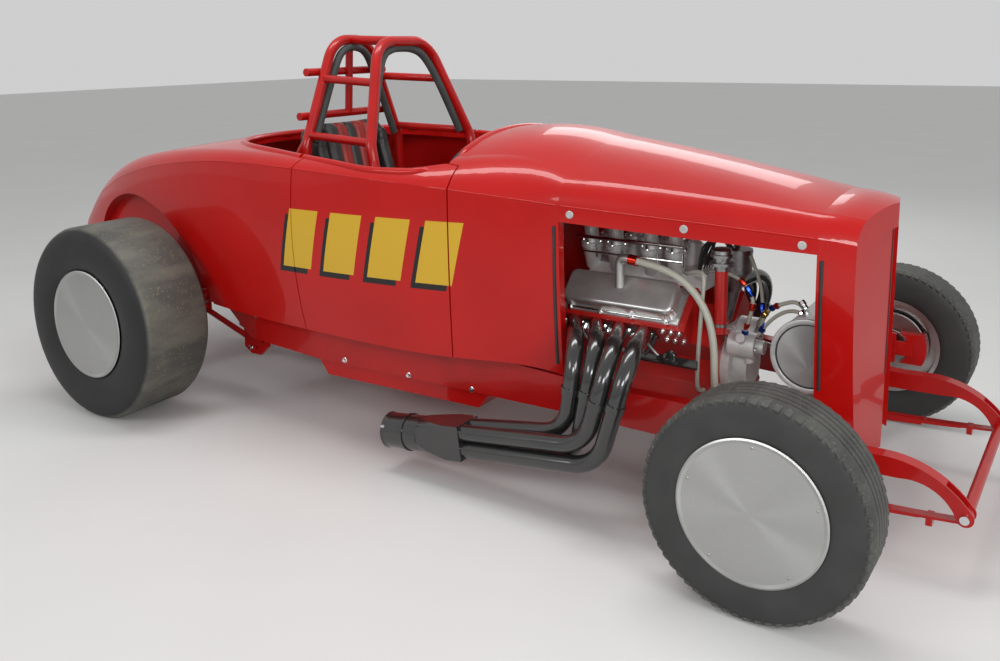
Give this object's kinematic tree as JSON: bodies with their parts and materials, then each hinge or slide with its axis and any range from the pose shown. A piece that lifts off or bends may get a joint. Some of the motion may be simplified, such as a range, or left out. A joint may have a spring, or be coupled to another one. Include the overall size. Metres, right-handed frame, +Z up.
{
  "type": "street rod roadster",
  "caption": "Open street rod roadster with a channel-rail frame, central seat in a roll cage, open engine bay, beam front axle and wide rear slicks.",
  "frame": {"origin": "on the floor below the middle of the whole car's length, on the centreline", "axes": "+X forward to the nose, +Y to the car's left, +Z up"},
  "size_m": [4.124, 2, 1.583],
  "materials": {
    "body_paint": "gloss",
    "frame_paint": "gloss",
    "engine_paint": "semi-gloss",
    "chrome": "polished",
    "steel": "satin",
    "cast_alloy": "cast",
    "spun_alloy": "spun",
    "tyre": "rubber",
    "seat_vinyl": "grained",
    "black_rim": "matte",
    "header_black": "gloss"
  },
  "bodies": {
    "chassis": {"rail_left": "frame_paint", "rail_right": "frame_paint", "crossmembers": "frame_paint", "spreader_bar": "frame_paint", "front_springs": "frame_paint", "spring_pins": "chrome", "front_axle": "frame_paint", "steering_box": "cast_alloy", "rear_axle": "frame_paint", "radius_rods": "frame_paint", "coil_units": "steel", "cowl": "body_paint", "rear_body": "body_paint", "wheel_tubs": "body_paint", "floor_pan": "body_paint", "firewall": "body_paint", "dash": "body_paint", "hood_top": "body_paint", "nose_shell": "body_paint", "nose_face": "body_paint", "belly_pan": "body_paint", "seat": "seat_vinyl", "roll_cage": "frame_paint", "steering_column": "steel", "steering_shaft": "steel", "engine_block": "engine_paint", "gearbox": "cast_alloy", "cylinder_heads": "engine_paint", "valve_covers": "cast_alloy", "intake": "cast_alloy", "exhaust_left": "header_black", "exhaust_right": "header_black", "front_drive": "cast_alloy", "magneto": "chrome", "filler_neck": "engine_paint", "fuel_tank": "spun_alloy"},
    "knuckle_left": {"knuckle_left": "frame_paint"},
    "knuckle_right": {"knuckle_right": "frame_paint"},
    "tie_rod": {"tie_rod": "chrome"},
    "pitman": {"pitman_arm": "steel"},
    "wheel_front_left": {"front_tyre_left": "tyre", "front_wheel_left": "spun_alloy"},
    "wheel_front_right": {"front_tyre_right": "tyre", "front_wheel_right": "spun_alloy"},
    "wheel_rear_left": {"rear_tyre_left": "tyre", "rear_wheel_left": "spun_alloy"},
    "wheel_rear_right": {"rear_tyre_right": "tyre", "rear_wheel_right": "spun_alloy"},
    "door_left": {"door_left": "body_paint"},
    "door_right": {"door_right": "body_paint"},
    "deck_lid": {"deck_lid": "body_paint"},
    "steering_wheel": {"steering_wheel": "black_rim"}
  },
  "joints": [
    {"name": "steer_left", "type": "hinge", "parent": "chassis", "child": "knuckle_left", "pos_m": [1.588, 0.69, 0.315], "axis": [0, 0, 1], "range_deg": [-25, 25]},
    {"name": "steer_right", "type": "hinge", "parent": "chassis", "child": "knuckle_right", "pos_m": [1.588, -0.69, 0.315], "axis": [0, 0, 1], "range_deg": [-25, 25]},
    {"name": "tie_rod_pivot", "type": "hinge", "parent": "knuckle_right", "child": "tie_rod", "pos_m": [1.458, -0.69, 0.245], "axis": [0, 0, 1], "range_deg": [-25, 25]},
    {"name": "pitman_turn", "type": "hinge", "parent": "chassis", "child": "pitman", "pos_m": [1.588, 0.318, 0.285], "axis": [0, 0, 1], "range_deg": [-25, 25]},
    {"name": "steering_wheel_turn", "type": "hinge", "parent": "chassis", "child": "steering_wheel", "pos_m": [0.028, 0, 0.985], "axis": [-0.9125, 0, 0.409], "range_deg": [-250, 250]},
    {"name": "spin_front_left", "type": "hinge", "parent": "knuckle_left", "child": "wheel_front_left", "pos_m": [1.588, 0.8185, 0.315], "axis": [0, 1, 0], "continuous": true},
    {"name": "spin_front_right", "type": "hinge", "parent": "knuckle_right", "child": "wheel_front_right", "pos_m": [1.588, -0.8185, 0.315], "axis": [0, 1, 0], "continuous": true},
    {"name": "spin_rear_left", "type": "hinge", "parent": "chassis", "child": "wheel_rear_left", "pos_m": [-1.212, 0.835, 0.408], "axis": [0, 1, 0], "continuous": true},
    {"name": "spin_rear_right", "type": "hinge", "parent": "chassis", "child": "wheel_rear_right", "pos_m": [-1.212, -0.835, 0.408], "axis": [0, 1, 0], "continuous": true},
    {"name": "door_left_hinge", "type": "hinge", "parent": "chassis", "child": "door_left", "pos_m": [0.373, 0.592, 0.75], "axis": [0, 0, -1], "range_deg": [0, 65]},
    {"name": "door_right_hinge", "type": "hinge", "parent": "chassis", "child": "door_right", "pos_m": [0.373, -0.592, 0.75], "axis": [0, 0, 1], "range_deg": [0, 65]},
    {"name": "deck_lid_hinge", "type": "hinge", "parent": "chassis", "child": "deck_lid", "pos_m": [-1.1295, 0, 1.118], "axis": [0, 1, 0], "range_deg": [0, 50]}
  ],
  "couplings": [
    {"joint": "steer_right", "follows": "steer_left", "ratio": 1},
    {"joint": "tie_rod_pivot", "follows": "steer_left", "ratio": -1},
    {"joint": "pitman_turn", "follows": "steer_left", "ratio": 1},
    {"joint": "steering_wheel_turn", "follows": "steer_left", "ratio": 10}
  ]
}
